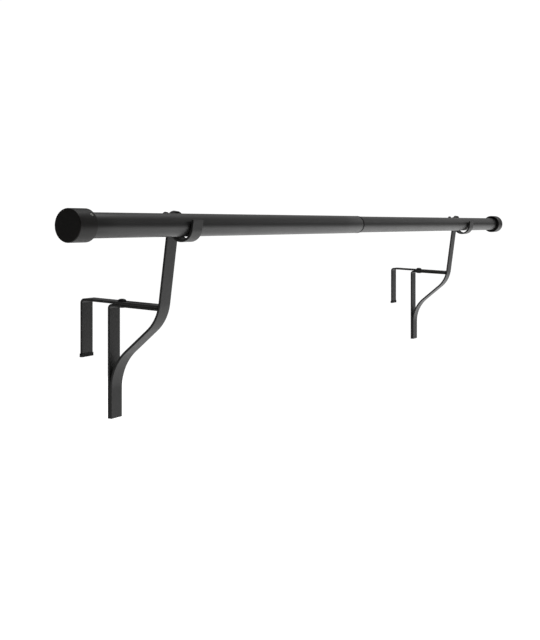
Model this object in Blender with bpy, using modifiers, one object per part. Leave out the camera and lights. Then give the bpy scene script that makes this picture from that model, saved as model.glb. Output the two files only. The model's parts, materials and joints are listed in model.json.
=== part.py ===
"""Telescoping round bar carried by two strap brackets that hook over a panel.

Metres, +Z up, +X along the bar, +Y towards the back of the panel. The panel's top edge is the
plane z = 0 and its front face is the plane y = 0, half way between the two brackets.
"""

import math

import bmesh
import bpy
from mathutils import Matrix, Vector

MM = 0.001

# Bar
BAR_LENGTH = 1280 * MM
BAR_Y = -103.05 * MM
BAR_Z = 89.7 * MM
OUTER_RADIUS = 12.7 * MM
OUTER_WALL = 0.55 * MM
INNER_RADIUS = 11.95 * MM
INNER_WALL = 0.6 * MM
INNER_OVERLAP = 80 * MM
SEAM_X = -15 * MM
COLLAR_LENGTH = 4.0 * MM
COLLAR_RADIUS = 12.8 * MM
COLLAR_BORE = 12.15 * MM

# End caps
CAP_RADIUS = 16.4 * MM
CAP_LENGTH = 24.7 * MM
CAP_WALL = 1.3 * MM
CAP_FACE = 1.6 * MM
PLUG_RECESS = 1.6 * MM
PLUG_LENGTH = 18 * MM
CAP_SCREW_INSET = 4.5 * MM
CAP_SCREW_ANGLE = math.radians(40)
CAP_SCREW_RADIUS = 1.8 * MM

# Brackets
BRACKET_X = 450 * MM
STRAP_WIDTH = 19 * MM
STRAP = 2.8 * MM
JAW = 38.4 * MM
BEND_RADIUS = 4.0 * MM
FRONT_LEG = 132.2 * MM
BACK_LEG = 63.6 * MM
ARM_LEAN = math.radians(7.8)
ARM_FOOT_Y = -73.3 * MM
ARM_SLOPE = math.radians(39.5)
KNEE_RADIUS = 48 * MM
FOOT_RADIUS = 58 * MM
LOCK_HEIGHT = BAR_Z + 7.4 * MM
ARM_TOP = 8.6 * MM
END_RADIUS = 14 * MM
STRIP_RISE = math.radians(2.2)

# Cradle
CRADLE_RADIUS = 14.55 * MM
CRADLE_SHIFT = 0.15 * MM
CRADLE_DROP = 2.8 * MM
LIP_TOP = BAR_Z + 5.75 * MM

# Fasteners
CLAMP_Y = -13.3 * MM
CLAMP_TRAVEL = 40 * MM
CLAMP_SHANK = 2.5 * MM
CLAMP_HEAD_RADIUS = 4.9 * MM
CLAMP_HEAD = 2.7 * MM
CLAMP_SOCKET = 3.2 * MM
SLOT_WIDTH = 5.6 * MM
NUT_SPIGOT = 3.5 * MM
NUT_FLANGE = 4.7 * MM
NUT_BORE = 2.65 * MM
LOCK_SHANK = 2.9 * MM
LOCK_TIP = 1.5 * MM
LOCK_KNOB_RADIUS = 5.8 * MM
LOCK_KNOB = 4.2 * MM
LOCK_STANDOFF = 9.35 * MM
LOCK_NUT_FLATS = 10 * MM
LOCK_NUT = 4.0 * MM
TIP_WALL = 0.7 * MM
TIP_HEIGHT = 4.2 * MM

# Clearances
BUTT = 0.1 * MM
FIT = 0.15 * MM
GAP = 0.3 * MM
KNEE_GAP = 0.75 * MM

STEPS = 48
SMALL_STEPS = 24


def clear_scene():
    for old in list(bpy.data.objects):
        bpy.data.objects.remove(old, do_unlink=True)


def new_collection(name, hidden=False):
    made = bpy.data.collections.new(name)
    bpy.context.scene.collection.children.link(made)
    made.hide_render = hidden
    return made


clear_scene()
BAR = new_collection("hook_over_bar")
CUTTERS = new_collection("cutters", hidden=True)


def finish(name, colour, roughness, metallic):
    mat = bpy.data.materials.new(name)
    mat.use_nodes = True
    shader = mat.node_tree.nodes["Principled BSDF"]
    shader.inputs["Base Color"].default_value = (*colour, 1)
    shader.inputs["Roughness"].default_value = roughness
    shader.inputs["Metallic"].default_value = metallic
    mat.diffuse_color = (*colour, 1)
    return mat


COAT = finish("black_powder_coat", (0.026, 0.025, 0.024), 0.42, 0.0)
CAP_COAT = finish("black_cap_coat", (0.016, 0.015, 0.014), 0.38, 0.0)
OXIDE = finish("black_oxide_steel", (0.012, 0.012, 0.012), 0.35, 0.6)
PLASTIC = finish("black_plastic", (0.012, 0.012, 0.013), 0.55, 0.0)
RUBBER = finish("black_rubber", (0.008, 0.008, 0.008), 0.85, 0.0)
STEEL = finish("bright_steel", (0.55, 0.55, 0.54), 0.3, 1.0)


def add_object(name, mesh, mat, parent=None, cutter=False):
    obj = bpy.data.objects.new(name, mesh)
    if cutter:
        CUTTERS.objects.link(obj)
        obj.hide_render = True
        obj.display_type = "WIRE"
    else:
        BAR.objects.link(obj)
        mesh.materials.append(mat)
    obj.parent = parent
    return obj


def add_frame(name, place):
    frame = bpy.data.objects.new(name, None)
    BAR.objects.link(frame)
    frame.location = place
    return frame


def settle(obj):
    """Turns the object into the plain mesh that its modifiers or its curve make."""
    graph = bpy.context.evaluated_depsgraph_get()
    mesh = bpy.data.meshes.new_from_object(obj.evaluated_get(graph))
    work = bmesh.new()
    work.from_mesh(mesh)
    bmesh.ops.remove_doubles(work, verts=work.verts, dist=0.000001)
    work.to_mesh(mesh)
    work.free()
    return mesh


def soften(mesh, angle=35):
    """Smooth shading that stays crisp over edges sharper than the angle."""
    mesh.shade_smooth()
    mesh.set_sharp_from_angle(angle=math.radians(angle))


def lathe(name, profile, mat, parent=None, steps=STEPS, closed=True, cutter=False):
    """A turned piece about its own Z. The profile is (radius, z), outer side from top to bottom."""
    line = bpy.data.meshes.new(name + "_profile")
    points = [(radius, 0, z) for radius, z in profile]
    edges = [(i, i + 1) for i in range(len(points) - 1)]
    if closed:
        edges.append((len(points) - 1, 0))
    line.from_pydata(points, edges, [])
    blank = bpy.data.objects.new(name + "_profile", line)
    CUTTERS.objects.link(blank)
    screw = blank.modifiers.new("turn", "SCREW")
    screw.steps = steps
    screw.render_steps = steps
    screw.use_merge_vertices = True
    screw.merge_threshold = 0.00001
    mesh = settle(blank)
    mesh.name = name
    bpy.data.objects.remove(blank)
    soften(mesh)
    return add_object(name, mesh, mat, parent, cutter)


def round_edges(obj, width, segments=1, angle=40):
    bevel = obj.modifiers.new("edge", "BEVEL")
    bevel.width = width
    bevel.segments = segments
    bevel.limit_method = "ANGLE"
    bevel.angle_limit = math.radians(angle)
    bevel.harden_normals = True


def prism(name, outline, low, high, mat, parent=None, cutter=False):
    """A flat outline in local XY, raised from low to high along local Z."""
    curve = bpy.data.curves.new(name + "_outline", "CURVE")
    curve.dimensions = "2D"
    curve.fill_mode = "BOTH"
    curve.extrude = (high - low) / 2
    spline = curve.splines.new("POLY")
    spline.points.add(len(outline) - 1)
    for point, (x, y) in zip(spline.points, outline):
        point.co = (x, y, 0, 1)
    spline.use_cyclic_u = True
    blank = bpy.data.objects.new(name + "_outline", curve)
    CUTTERS.objects.link(blank)
    mesh = settle(blank)
    mesh.name = name
    bpy.data.objects.remove(blank)
    mesh.transform(Matrix.Translation((0, 0, (high + low) / 2)))
    mesh.shade_flat()
    return add_object(name, mesh, mat, parent, cutter)


def box(name, size, centre, parent=None):
    work = bmesh.new()
    bmesh.ops.create_cube(work, size=1)
    bmesh.ops.scale(work, vec=size, verts=work.verts)
    mesh = bpy.data.meshes.new(name)
    work.to_mesh(mesh)
    work.free()
    made = add_object(name, mesh, None, parent, cutter=True)
    made.location = centre
    return made


def hexagon(flats):
    radius = flats / 2 / math.cos(math.pi / 6)
    turns = [math.pi * k / 3 for k in range(6)]
    return [(radius * math.cos(turn), radius * math.sin(turn)) for turn in turns]


def cut(obj, cutter):
    boolean = obj.modifiers.new("cut_" + cutter.name, "BOOLEAN")
    boolean.operation = "DIFFERENCE"
    boolean.solver = "EXACT"
    boolean.object = cutter


def bent_path(corners, radii, step=math.radians(6)):
    """The corners as (y, z) points, with each inner corner rounded to its radius."""
    points = [Vector(corners[0])]
    for i in range(1, len(corners) - 1):
        corner = Vector(corners[i])
        before = (Vector(corners[i - 1]) - corner).normalized()
        after = (Vector(corners[i + 1]) - corner).normalized()
        turn = math.pi - before.angle(after)
        reach = radii[i - 1] * math.tan(turn / 2)
        centre = corner + (before + after).normalized() * radii[i - 1] / math.cos(turn / 2)
        start = corner + before * reach - centre
        side = math.copysign(1, before.cross(after))
        count = max(2, math.ceil(turn / step))
        for k in range(count + 1):
            spin = Matrix.Rotation(side * -turn * k / count, 2)
            points.append(centre + spin @ start)
    points.append(Vector(corners[-1]))
    return points


def strap(name, path, mat, parent):
    """A flat strap whose middle surface follows the path in the local YZ plane."""
    work = bmesh.new()
    points = [work.verts.new((-STRAP_WIDTH / 2, y, z)) for y, z in path]
    edges = [work.edges.new(pair) for pair in zip(points, points[1:])]
    across = bmesh.ops.extrude_edge_only(work, edges=edges)
    moved = [item for item in across["geom"] if isinstance(item, bmesh.types.BMVert)]
    bmesh.ops.translate(work, vec=(STRAP_WIDTH, 0, 0), verts=moved)
    mesh = bpy.data.meshes.new(name)
    work.to_mesh(mesh)
    work.free()
    soften(mesh)
    obj = add_object(name, mesh, mat, parent)
    solid = obj.modifiers.new("thickness", "SOLIDIFY")
    solid.thickness = STRAP
    solid.offset = 0
    solid.use_even_offset = True
    return obj


def make_tubes():
    """The two telescoping tubes with the collar at the outer one's mouth and the hidden guide."""
    left = -BAR_LENGTH / 2 + CAP_FACE + 1.0 * MM
    right = -left
    mouth = SEAM_X - COLLAR_LENGTH - BUTT
    pieces = []
    span = mouth - left
    bore = OUTER_RADIUS - OUTER_WALL
    profile = [(OUTER_RADIUS, span), (OUTER_RADIUS, 0), (bore, 0), (bore, span)]
    outer = lathe("outer_tube", profile, COAT)
    pieces.append((outer, left))

    bore = INNER_RADIUS - INNER_WALL
    span = right - SEAM_X + INNER_OVERLAP
    profile = [(INNER_RADIUS, span), (INNER_RADIUS, 0), (bore, 0), (bore, span)]
    inner = lathe("inner_tube", profile, COAT)
    pieces.append((inner, SEAM_X - INNER_OVERLAP))

    profile = [
        (COLLAR_BORE, COLLAR_LENGTH),
        (COLLAR_RADIUS - 0.5 * MM, COLLAR_LENGTH),
        (COLLAR_RADIUS, COLLAR_LENGTH - 0.5 * MM),
        (COLLAR_RADIUS, 0),
        (COLLAR_BORE, 0),
    ]
    pieces.append((lathe("tube_collar", profile, PLASTIC), SEAM_X - COLLAR_LENGTH))

    spigot = bore - FIT
    rim = OUTER_RADIUS - OUTER_WALL - FIT
    profile = [
        (4 * MM, 12 * MM),
        (spigot - 0.6 * MM, 12 * MM),
        (spigot, 11.4 * MM),
        (spigot, 0),
        (rim, -BUTT),
        (rim, -3 * MM),
        (4 * MM, -3 * MM),
    ]
    pieces.append((lathe("inner_guide", profile, PLASTIC), SEAM_X - INNER_OVERLAP))
    for obj, x in pieces:
        obj.rotation_euler = (0, math.pi / 2, 0)
        obj.location = (x, BAR_Y, BAR_Z)


def make_cap(side, sign, tube_radius):
    """A cup over the tube's end, the ring that centres it, and its set screw."""
    frame = add_frame(side + "_cap_frame", (sign * BAR_LENGTH / 2, BAR_Y, BAR_Z))
    frame.rotation_euler = (0, -sign * math.pi / 2, 0)
    bore = CAP_RADIUS - CAP_WALL
    soft = 0.7 * MM
    profile = [
        (bore, CAP_LENGTH),
        (CAP_RADIUS - 0.3 * MM, CAP_LENGTH),
        (CAP_RADIUS, CAP_LENGTH - 0.3 * MM),
        (CAP_RADIUS, soft),
        (CAP_RADIUS - soft * 0.3, soft * 0.3),
        (CAP_RADIUS - soft, 0),
        (0, 0),
    ]
    inside = [(0, CAP_FACE), (bore, CAP_FACE)]
    cap = lathe(side + "_end_cap", inside + profile, CAP_COAT, frame, closed=False)

    far = CAP_LENGTH - PLUG_RECESS
    near = far - PLUG_LENGTH
    hold = tube_radius + FIT
    profile = [
        (hold, far),
        (bore - FIT - 0.4 * MM, far),
        (bore - FIT, far - 0.4 * MM),
        (bore - FIT, near),
        (hold, near),
    ]
    plug = lathe(side + "_cap_plug", profile, PLASTIC, frame)

    screw_z = CAP_LENGTH - CAP_SCREW_INSET
    aim = add_frame(side + "_cap_screw_frame", (0, 0, screw_z))
    aim.parent = frame
    outward = Vector((0, -math.cos(CAP_SCREW_ANGLE), math.sin(CAP_SCREW_ANGLE)))
    local = frame.rotation_euler.to_matrix().transposed() @ outward
    aim.rotation_mode = "QUATERNION"
    aim.rotation_quaternion = Vector((0, 0, 1)).rotation_difference(local)

    hole_radius = CAP_SCREW_RADIUS + FIT
    top = CAP_RADIUS + 2 * MM
    low = tube_radius - 1 * MM
    hole = lathe(
        side + "_cap_screw_hole",
        [(0, top), (hole_radius, top), (hole_radius, low), (0, low)],
        None,
        aim,
        SMALL_STEPS,
        closed=False,
        cutter=True,
    )
    cut(cap, hole)
    cut(plug, hole)
    round_edges(cap, 0.15 * MM, angle=60)
    head = CAP_RADIUS - 0.2 * MM
    point = tube_radius + FIT
    profile = [
        (0, head - 1.4 * MM),
        (0.8 * MM, head - 1.4 * MM),
        (0.8 * MM, head),
        (CAP_SCREW_RADIUS - 0.3 * MM, head),
        (CAP_SCREW_RADIUS, head - 0.3 * MM),
        (CAP_SCREW_RADIUS, point + 0.6 * MM),
        (CAP_SCREW_RADIUS - 0.6 * MM, point),
        (0, point),
    ]
    lathe(side + "_cap_set_screw", profile, STEEL, aim, 24, closed=False)


def arm_y(z):
    """The middle of the leaning part of the arm at this height."""
    return ARM_FOOT_Y - math.tan(ARM_LEAN) * z


def strip_point(y, offset):
    """A point on the rising top strip at this Y, offset square to it from the seat's underside."""
    return Vector((y, y * math.tan(STRIP_RISE) + offset / math.cos(STRIP_RISE)))


def arm_corners():
    knee_z = -16.9 * MM
    knee_y = arm_y(knee_z)
    foot_y = -STRAP * 1.5 - BUTT
    foot_z = knee_z - (foot_y - knee_y) * math.tan(ARM_SLOPE)
    lock = (arm_y(LOCK_HEIGHT), LOCK_HEIGHT)
    return [lock, (knee_y, knee_z), (foot_y, foot_z), (foot_y, -FRONT_LEG)]


def arm_up():
    """The direction up along the leaning part of the arm, as (y, z)."""
    return Vector((-math.sin(ARM_LEAN), math.cos(ARM_LEAN)))


def end_cut(name, lock):
    """A cutter that domes the top of the arm and of the cradle's leg lying on it."""
    half = STRAP_WIDTH / 2
    wide = half + 3 * MM
    middle = END_RADIUS - ARM_TOP
    edge = half + 0.4 * MM
    reach = math.asin(edge / END_RADIUS)
    outline = [(wide, -ARM_TOP - 8 * MM), (wide, 0), (edge, 0)]
    for k in range(13):
        turn = reach - 2 * reach * k / 12
        side = math.sin(turn) * END_RADIUS
        outline.append((side, middle - math.cos(turn) * END_RADIUS))
    outline += [(-edge, 0), (-wide, 0), (-wide, -ARM_TOP - 8 * MM)]
    return prism(name, outline, -8 * MM, 4 * MM, None, lock, cutter=True)


def lock_hole(name, lock):
    radius = LOCK_SHANK + FIT
    reach = 8 * MM
    profile = [(0, reach), (radius, reach), (radius, -reach), (0, -reach)]
    return lathe(name, profile, None, lock, SMALL_STEPS, closed=False, cutter=True)


def make_arm(side, frame):
    corners = arm_corners()
    top = Vector(corners[0]) + arm_up() * (ARM_TOP + 1 * MM)
    path = bent_path([top] + corners[1:], [KNEE_RADIUS, FOOT_RADIUS])
    arm = strap(side + "_arm", path, COAT, frame)
    lock = add_frame(side + "_lock_frame", (0, *corners[0]))
    lock.parent = frame
    lock.rotation_euler = (ARM_LEAN - math.pi / 2, 0, 0)
    cut(arm, end_cut(side + "_arm_end_cut", lock))
    cut(arm, lock_hole(side + "_lock_hole", lock))
    round_edges(arm, 0.35 * MM)
    return lock


def make_lock(side, lock):
    """The thumb screw that pins the bar, with its own +Z pointing back out of the arm."""
    tip = -4.8 * MM
    shoulder = -3.9 * MM
    collar = LOCK_STANDOFF + LOCK_KNOB
    screw = lathe(
        side + "_lock_shank_blank",
        [
            (0, collar - 1 * MM),
            (LOCK_SHANK, collar - 1 * MM),
            (LOCK_SHANK, shoulder),
            (LOCK_TIP, tip),
            (0, tip),
        ],
        None,
        lock,
        SMALL_STEPS,
        closed=False,
        cutter=True,
    )
    teeth = 28
    outline = []
    for k in range(teeth * 2):
        radius = LOCK_KNOB_RADIUS if k % 2 else LOCK_KNOB_RADIUS - 0.45 * MM
        turn = math.pi * k / teeth
        outline.append((radius * math.cos(turn), radius * math.sin(turn)))
    knob = prism(side + "_lock_screw", outline, LOCK_STANDOFF, collar, OXIDE, lock)
    join = knob.modifiers.new("shank", "BOOLEAN")
    join.operation = "UNION"
    join.solver = "EXACT"
    join.object = screw

    low = STRAP / 2 + BUTT
    nut = prism(side + "_lock_nut", hexagon(LOCK_NUT_FLATS), low, low + LOCK_NUT, COAT, lock)
    bore = LOCK_SHANK + FIT
    hole = lathe(
        side + "_lock_nut_bore",
        [(0, 12 * MM), (bore, 12 * MM), (bore, -2 * MM), (0, -2 * MM)],
        None,
        lock,
        SMALL_STEPS,
        closed=False,
        cutter=True,
    )
    cut(nut, hole)


def make_cradle(side, frame, lock):
    """A J of strap whose long leg lies on the arm and whose bend passes under the bar."""
    up = arm_up()
    back = Vector((up.y, -up.x))
    middle = Vector((BAR_Y, BAR_Z)) - back * CRADLE_SHIFT - up * CRADLE_DROP
    heel = middle + back * CRADLE_RADIUS
    rise = (Vector(arm_corners()[0]) - heel).dot(up) + ARM_TOP + 1 * MM
    path = [heel + up * rise]
    count = 24
    for k in range(count + 1):
        turn = math.pi * k / count
        path.append(middle + (back * math.cos(turn) - up * math.sin(turn)) * CRADLE_RADIUS)
    toe = middle - back * CRADLE_RADIUS
    path.append(toe + up * (LIP_TOP - toe.y) / up.y)
    cradle = strap(side + "_cradle", path, COAT, frame)
    cut(cradle, end_cut(side + "_cradle_end_cut", lock))
    cut(cradle, lock_hole(side + "_cradle_lock_hole", lock))
    round_edges(cradle, 0.35 * MM)


def make_front_strap(side, frame):
    level = -GAP - STRAP / 2
    start = strip_point(-78 * MM, level)
    corner = strip_point(-STRAP / 2, level)
    path = bent_path([start, corner, (corner.x, -FRONT_LEG)], [BEND_RADIUS], math.radians(11.25))
    front = strap(side + "_front_strap", path, COAT, frame)
    deep = 20 * MM
    trim = box(side + "_flange_trim", (40 * MM, deep, 60 * MM), (0, 0, 0), frame)
    trim.location = (0, arm_y(0) + (STRAP / 2 + KNEE_GAP - deep / 2) / math.cos(ARM_LEAN), 0)
    trim.rotation_euler = (ARM_LEAN, 0, 0)
    cut(front, trim)
    radius = NUT_SPIGOT + FIT
    hole = lathe(
        side + "_nut_hole",
        [(0, 8 * MM), (radius, 8 * MM), (radius, -8 * MM), (0, -8 * MM)],
        None,
        frame,
        SMALL_STEPS,
        closed=False,
        cutter=True,
    )
    hole.location = (0, *strip_point(CLAMP_Y, 0))
    hole.rotation_euler = (STRIP_RISE, 0, 0)
    cut(front, hole)
    round_edges(front, 0.35 * MM)


def make_hook(side, frame):
    """The hook slides along the top strip, so its own Y runs along it from the clamp screw's axis."""
    level = STRAP / 2
    back = JAW + STRAP / 2
    origin = strip_point(CLAMP_Y, 0)
    turn = Matrix.Rotation(-STRIP_RISE, 2)
    start = strip_point(-70.8 * MM, level)
    corners = [start, strip_point(back, level), (back, -BACK_LEG)]
    local = [turn @ (Vector(corner) - origin) for corner in corners]
    path = bent_path(local, [BEND_RADIUS], math.radians(11.25))
    hook = strap(side + "_hook_strap", path, COAT, frame)
    hook.location = (0, *origin)
    hook.rotation_euler = (STRIP_RISE, 0, 0)
    radius = SLOT_WIDTH / 2
    outline = []
    for k in range(17):
        turn = math.pi * k / 16
        outline.append((radius * math.cos(turn), radius * math.sin(turn)))
    for k in range(17):
        turn = math.pi * (1 + k / 16)
        outline.append((radius * math.cos(turn), -CLAMP_TRAVEL + radius * math.sin(turn)))
    slot = prism(side + "_slot", outline, -4 * MM, 8 * MM, None, hook, cutter=True)
    cut(hook, slot)
    round_edges(hook, 0.35 * MM)

    half_x = STRAP_WIDTH / 2 + BUTT
    half_y = STRAP / 2 + BUTT
    low = -BACK_LEG - BUTT
    outline = [
        (-half_x - TIP_WALL, -half_y - TIP_WALL),
        (half_x + TIP_WALL, -half_y - TIP_WALL),
        (half_x + TIP_WALL, half_y + TIP_WALL),
        (-half_x - TIP_WALL, half_y + TIP_WALL),
    ]
    bottom = low - 0.9 * MM
    tip = prism(side + "_hook_tip", outline, bottom, bottom + TIP_HEIGHT, RUBBER, frame)
    tip.location = (0, back, 0)
    pocket = box(
        side + "_tip_pocket",
        (half_x * 2, half_y * 2, 20 * MM),
        (0, 0, low + 10 * MM),
        tip,
    )
    cut(tip, pocket)
    round_edges(tip, 0.25 * MM, segments=2)


def make_clamp(side, frame):
    under = STRAP + BUTT
    top = under + CLAMP_HEAD
    end = -GAP - STRAP - 1.6 * MM
    profile = [
        (0, top),
        (CLAMP_HEAD_RADIUS * 0.45, top - 0.05 * MM),
        (CLAMP_HEAD_RADIUS * 0.74, top - 0.5 * MM),
        (CLAMP_HEAD_RADIUS * 0.93, top - 1.2 * MM),
        (CLAMP_HEAD_RADIUS, top - 2.0 * MM),
        (CLAMP_HEAD_RADIUS, under),
        (CLAMP_SHANK, under),
        (CLAMP_SHANK, end + 0.5 * MM),
        (CLAMP_SHANK - 0.5 * MM, end),
        (0, end),
    ]
    screw = lathe(side + "_clamp_screw", profile, OXIDE, frame, SMALL_STEPS, closed=False)
    screw.location = (0, *strip_point(CLAMP_Y, 0))
    screw.rotation_euler = (STRIP_RISE, 0, 0)
    flats = hexagon(CLAMP_SOCKET)
    socket = prism(side + "_socket", flats, top - 1.7 * MM, top + 2 * MM, None, screw, cutter=True)
    cut(screw, socket)

    face = -GAP - STRAP - BUTT
    disc = face - 1.2 * MM
    profile = [
        (NUT_BORE, -GAP - 0.4 * MM),
        (NUT_SPIGOT, -GAP - 0.4 * MM),
        (NUT_SPIGOT, face),
        (NUT_FLANGE, face),
        (NUT_FLANGE, disc + 0.3 * MM),
        (NUT_FLANGE - 0.3 * MM, disc),
        (NUT_BORE, disc),
    ]
    nut = lathe(side + "_clamp_nut", profile, OXIDE, frame, SMALL_STEPS)
    nut.location = (0, *strip_point(CLAMP_Y, 0))
    nut.rotation_euler = (STRIP_RISE, 0, 0)


def make_bracket(side, x):
    frame = add_frame(side + "_bracket_frame", (x, 0, 0))
    make_front_strap(side, frame)
    lock = make_arm(side, frame)
    make_cradle(side, frame, lock)
    make_hook(side, frame)
    make_clamp(side, frame)
    make_lock(side, lock)


make_tubes()
make_cap("left", -1, OUTER_RADIUS)
make_cap("right", 1, INNER_RADIUS)
make_bracket("left", -BRACKET_X)
make_bracket("right", BRACKET_X)
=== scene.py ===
"""Looks for the telescoping bar on two hook-over brackets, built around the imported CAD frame.

Metres, +Z up, +X along the bar. Every CAD node is stood for by a finer piece of the same shape:
smooth turned metal, straps with rounded edges, real threads, knurls, sockets and weld beads.
"""

import json
import math

import bmesh
import bpy
from mathutils import Matrix, Vector


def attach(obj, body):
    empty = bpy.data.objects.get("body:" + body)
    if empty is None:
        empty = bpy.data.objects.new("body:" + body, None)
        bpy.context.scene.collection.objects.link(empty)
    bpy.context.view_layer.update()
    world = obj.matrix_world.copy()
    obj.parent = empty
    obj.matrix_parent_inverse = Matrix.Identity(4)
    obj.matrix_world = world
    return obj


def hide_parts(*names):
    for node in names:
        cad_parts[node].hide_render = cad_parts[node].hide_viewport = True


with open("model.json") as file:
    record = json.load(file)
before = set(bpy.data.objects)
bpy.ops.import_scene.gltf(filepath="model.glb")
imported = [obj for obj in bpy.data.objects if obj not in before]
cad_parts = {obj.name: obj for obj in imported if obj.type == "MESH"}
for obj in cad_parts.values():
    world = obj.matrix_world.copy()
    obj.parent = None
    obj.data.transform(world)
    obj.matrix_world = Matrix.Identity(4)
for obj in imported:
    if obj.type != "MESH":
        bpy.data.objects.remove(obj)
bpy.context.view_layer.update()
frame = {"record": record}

MM = 0.001

# Sizes, as in the CAD model
BAR_LENGTH = 1280 * MM
BAR_Y = -103.05 * MM
BAR_Z = 89.7 * MM
OUTER_RADIUS = 12.7 * MM
OUTER_WALL = 0.55 * MM
INNER_RADIUS = 11.95 * MM
INNER_WALL = 0.6 * MM
INNER_OVERLAP = 80 * MM
SEAM_X = -15 * MM
COLLAR_LENGTH = 4.0 * MM
COLLAR_RADIUS = 12.8 * MM
COLLAR_BORE = 12.15 * MM
CAP_RADIUS = 16.4 * MM
CAP_LENGTH = 24.7 * MM
CAP_WALL = 1.3 * MM
CAP_FACE = 1.6 * MM
CAP_TO_TUBE = 1.0 * MM
PLUG_RECESS = 1.6 * MM
PLUG_LENGTH = 18 * MM
CAP_SCREW_INSET = 4.5 * MM
CAP_SCREW_ANGLE = math.radians(40)
CAP_SCREW_RADIUS = 1.8 * MM
BRACKET_X = 450 * MM
STRAP_WIDTH = 19 * MM
STRAP = 2.8 * MM
JAW = 38.4 * MM
BEND_RADIUS = 4.0 * MM
FRONT_LEG = 132.2 * MM
BACK_LEG = 63.6 * MM
ARM_LEAN = math.radians(7.8)
ARM_FOOT_Y = -73.3 * MM
ARM_SLOPE = math.radians(39.5)
KNEE_Z = -16.9 * MM
KNEE_RADIUS = 48 * MM
FOOT_RADIUS = 58 * MM
LOCK_HEIGHT = BAR_Z + 7.4 * MM
ARM_TOP = 8.6 * MM
END_RADIUS = 14 * MM
STRIP_RISE = math.radians(2.2)
CRADLE_RADIUS = 14.55 * MM
CRADLE_SHIFT = 0.15 * MM
CRADLE_DROP = 2.8 * MM
LIP_TOP = BAR_Z + 5.75 * MM
CLAMP_Y = -13.3 * MM
CLAMP_TRAVEL = 40 * MM
CLAMP_SHANK = 2.5 * MM
CLAMP_HEAD_RADIUS = 4.9 * MM
CLAMP_HEAD = 2.7 * MM
CLAMP_SOCKET = 3.2 * MM
SLOT_WIDTH = 5.6 * MM
NUT_SPIGOT = 3.5 * MM
NUT_FLANGE = 4.7 * MM
NUT_BORE = 2.65 * MM
LOCK_SHANK = 2.9 * MM
LOCK_TIP = 1.5 * MM
LOCK_KNOB_RADIUS = 5.8 * MM
LOCK_KNOB = 4.2 * MM
LOCK_STANDOFF = 9.35 * MM
LOCK_NUT_FLATS = 10 * MM
LOCK_NUT = 4.0 * MM
LOCK_TIP_END = -4.8 * MM
LOCK_SHOULDER = -3.9 * MM
FRONT_STRIP_END = -78 * MM
HOOK_STRIP_END = -70.8 * MM
TIP_WALL = 0.7 * MM
TIP_SOLE = 0.9 * MM
TIP_HEIGHT = 4.2 * MM
BUTT = 0.1 * MM
FIT = 0.15 * MM
GAP = 0.3 * MM
KNEE_GAP = 0.75 * MM

# Sizes that only the looks have
EDGE = 0.42 * MM
SMALL_EDGE = 0.12 * MM
TUBE_LIP = 0.2 * MM
RING_SPACING = 60 * MM
KNURL_TEETH = 28
KNURL_DEPTH = 0.45 * MM
TIP_GROOVE = 0.16 * MM
WELD_RADIUS = 0.85 * MM
WELD_LENGTH = STRAP_WIDTH - 3 * MM
FOOT_WELD_INSET = 1.2 * MM

# How far the cutters reach past what they cut
OVER = 8 * MM

# Points round a turned piece
STEPS = 160
HEAD_STEPS = 96
SMALL_STEPS = 64
SCREW_STEPS = 48


# ---------------------------------------------------------------- materials


class Nodes:
    """A short way to write a node tree."""

    def __init__(self, name):
        self.mat = bpy.data.materials.new(name)
        self.mat.use_nodes = True
        self.tree = self.mat.node_tree
        self.shader = self.tree.nodes["Principled BSDF"]

    def feed(self, socket, value):
        """Links the socket to another node's output, or sets it to a constant."""
        if isinstance(value, bpy.types.NodeSocket):
            self.tree.links.new(value, socket)
        else:
            socket.default_value = value

    def add(self, kind, inputs=None, **settings):
        made = self.tree.nodes.new("ShaderNode" + kind)
        for key, value in settings.items():
            setattr(made, key, value)
        for key, value in (inputs or {}).items():
            self.feed(made.inputs[key], value)
        return made

    def place(self, scale=(1, 1, 1)):
        where = self.add("TexCoord").outputs["Object"]
        return self.add("Mapping", inputs={"Vector": where, "Scale": scale}).outputs[0]

    def noise(self, scale, detail, rough, stretch=(1, 1, 1), warp=0.0):
        inputs = {
            "Vector": self.place(stretch),
            "Scale": scale,
            "Detail": detail,
            "Roughness": rough,
            "Distortion": warp,
        }
        return self.add("TexNoise", inputs=inputs).outputs[0]

    def spread(self, value, low, high, start=0.0, end=1.0):
        """Maps low..high to start..end, held at the ends."""
        inputs = {0: value, 1: low, 2: high, 3: start, 4: end}
        return self.add("MapRange", inputs=inputs).outputs[0]

    def maths(self, how, first, second):
        return self.add("Math", operation=how, inputs={0: first, 1: second}).outputs[0]

    def blend(self, share, first, second):
        """A mix of two colours. The Mix node keeps its colour sockets at 6 and 7."""
        made = self.add("Mix", data_type="RGBA")
        for index, value in ((0, share), (6, first), (7, second)):
            self.feed(made.inputs[index], value)
        return made.outputs[2]

    def edges(self, radius):
        """1 where the surface turns sharply within the radius, 0 where it is flat."""
        softened = self.add("Bevel", samples=4, inputs={"Radius": radius}).outputs[0]
        plain = self.add("NewGeometry").outputs["Normal"]
        same = self.add("VectorMath", operation="DOT_PRODUCT", inputs={0: softened, 1: plain})
        return self.spread(same.outputs["Value"], 0.995, 0.86)

    def bump(self, *layers):
        """Each layer is (height, distance in metres, strength)."""
        normal = None
        for height, distance, strength in layers:
            inputs = {"Height": height, "Distance": distance, "Strength": strength}
            if normal is not None:
                inputs["Normal"] = normal
            normal = self.add("Bump", inputs=inputs).outputs[0]
        self.tree.links.new(normal, self.shader.inputs["Normal"])

    def wire(self, **links):
        """Feeds the surface shader's inputs; an underscore stands for a space in their names."""
        for name, value in links.items():
            self.feed(self.shader.inputs[name.replace("_", " ")], value)


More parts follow.
